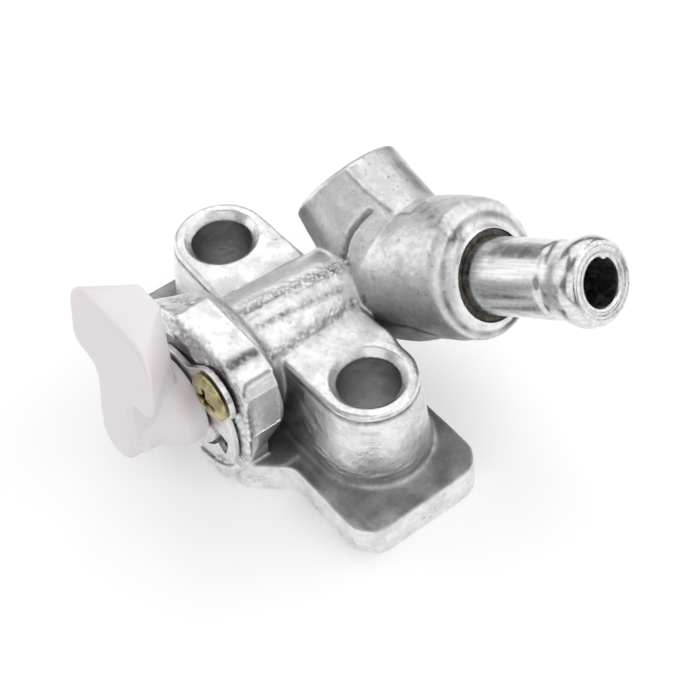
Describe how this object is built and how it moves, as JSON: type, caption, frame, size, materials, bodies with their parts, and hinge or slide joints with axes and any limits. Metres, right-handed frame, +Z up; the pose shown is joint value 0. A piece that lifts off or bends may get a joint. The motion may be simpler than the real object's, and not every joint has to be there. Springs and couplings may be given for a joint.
{
  "type": "fuel tap",
  "caption": "Small engine fuel tap with a die-cast body on a bolt flange, a rotary disc valve turned by a moulded lever, and a beaded hose tube on an angled spigot.",
  "frame": {"origin": "on the underside of the base flange, midway between the two bolt holes", "axes": "+X along the bolt line towards the hose spigot, +Y along the barrel away from the lever, +Z up from the base face"},
  "size_m": [0.048, 0.0443, 0.03],
  "materials": {
    "cast_zinc": "bright zinc casting with grey mottling and worn edges",
    "plated_tube": "bright plating, lightly scuffed",
    "white_nylon": "white moulded nylon",
    "seal_rubber": "black fuel-proof rubber",
    "spring_steel": "plain spring steel",
    "plate_steel": "plated sheet steel",
    "screw_steel": "yellow passivated zinc plate"
  },
  "bodies": {
    "tap": {"tap_body": "cast_zinc", "hose_tube": "plated_tube", "valve_seal": "seal_rubber", "wave_washer": "spring_steel", "retaining_plate": "plate_steel", "plate_screw_upper": "screw_steel", "plate_screw_lower": "screw_steel", "base_ring": "seal_rubber"},
    "lever": {"lever": "white_nylon"}
  },
  "joints": [
    {"name": "lever_turn", "type": "hinge", "parent": "tap", "child": "lever", "pos_m": [0, 0, 0.011], "axis": [0, 1, 0], "range_deg": [0, 90]}
  ]
}
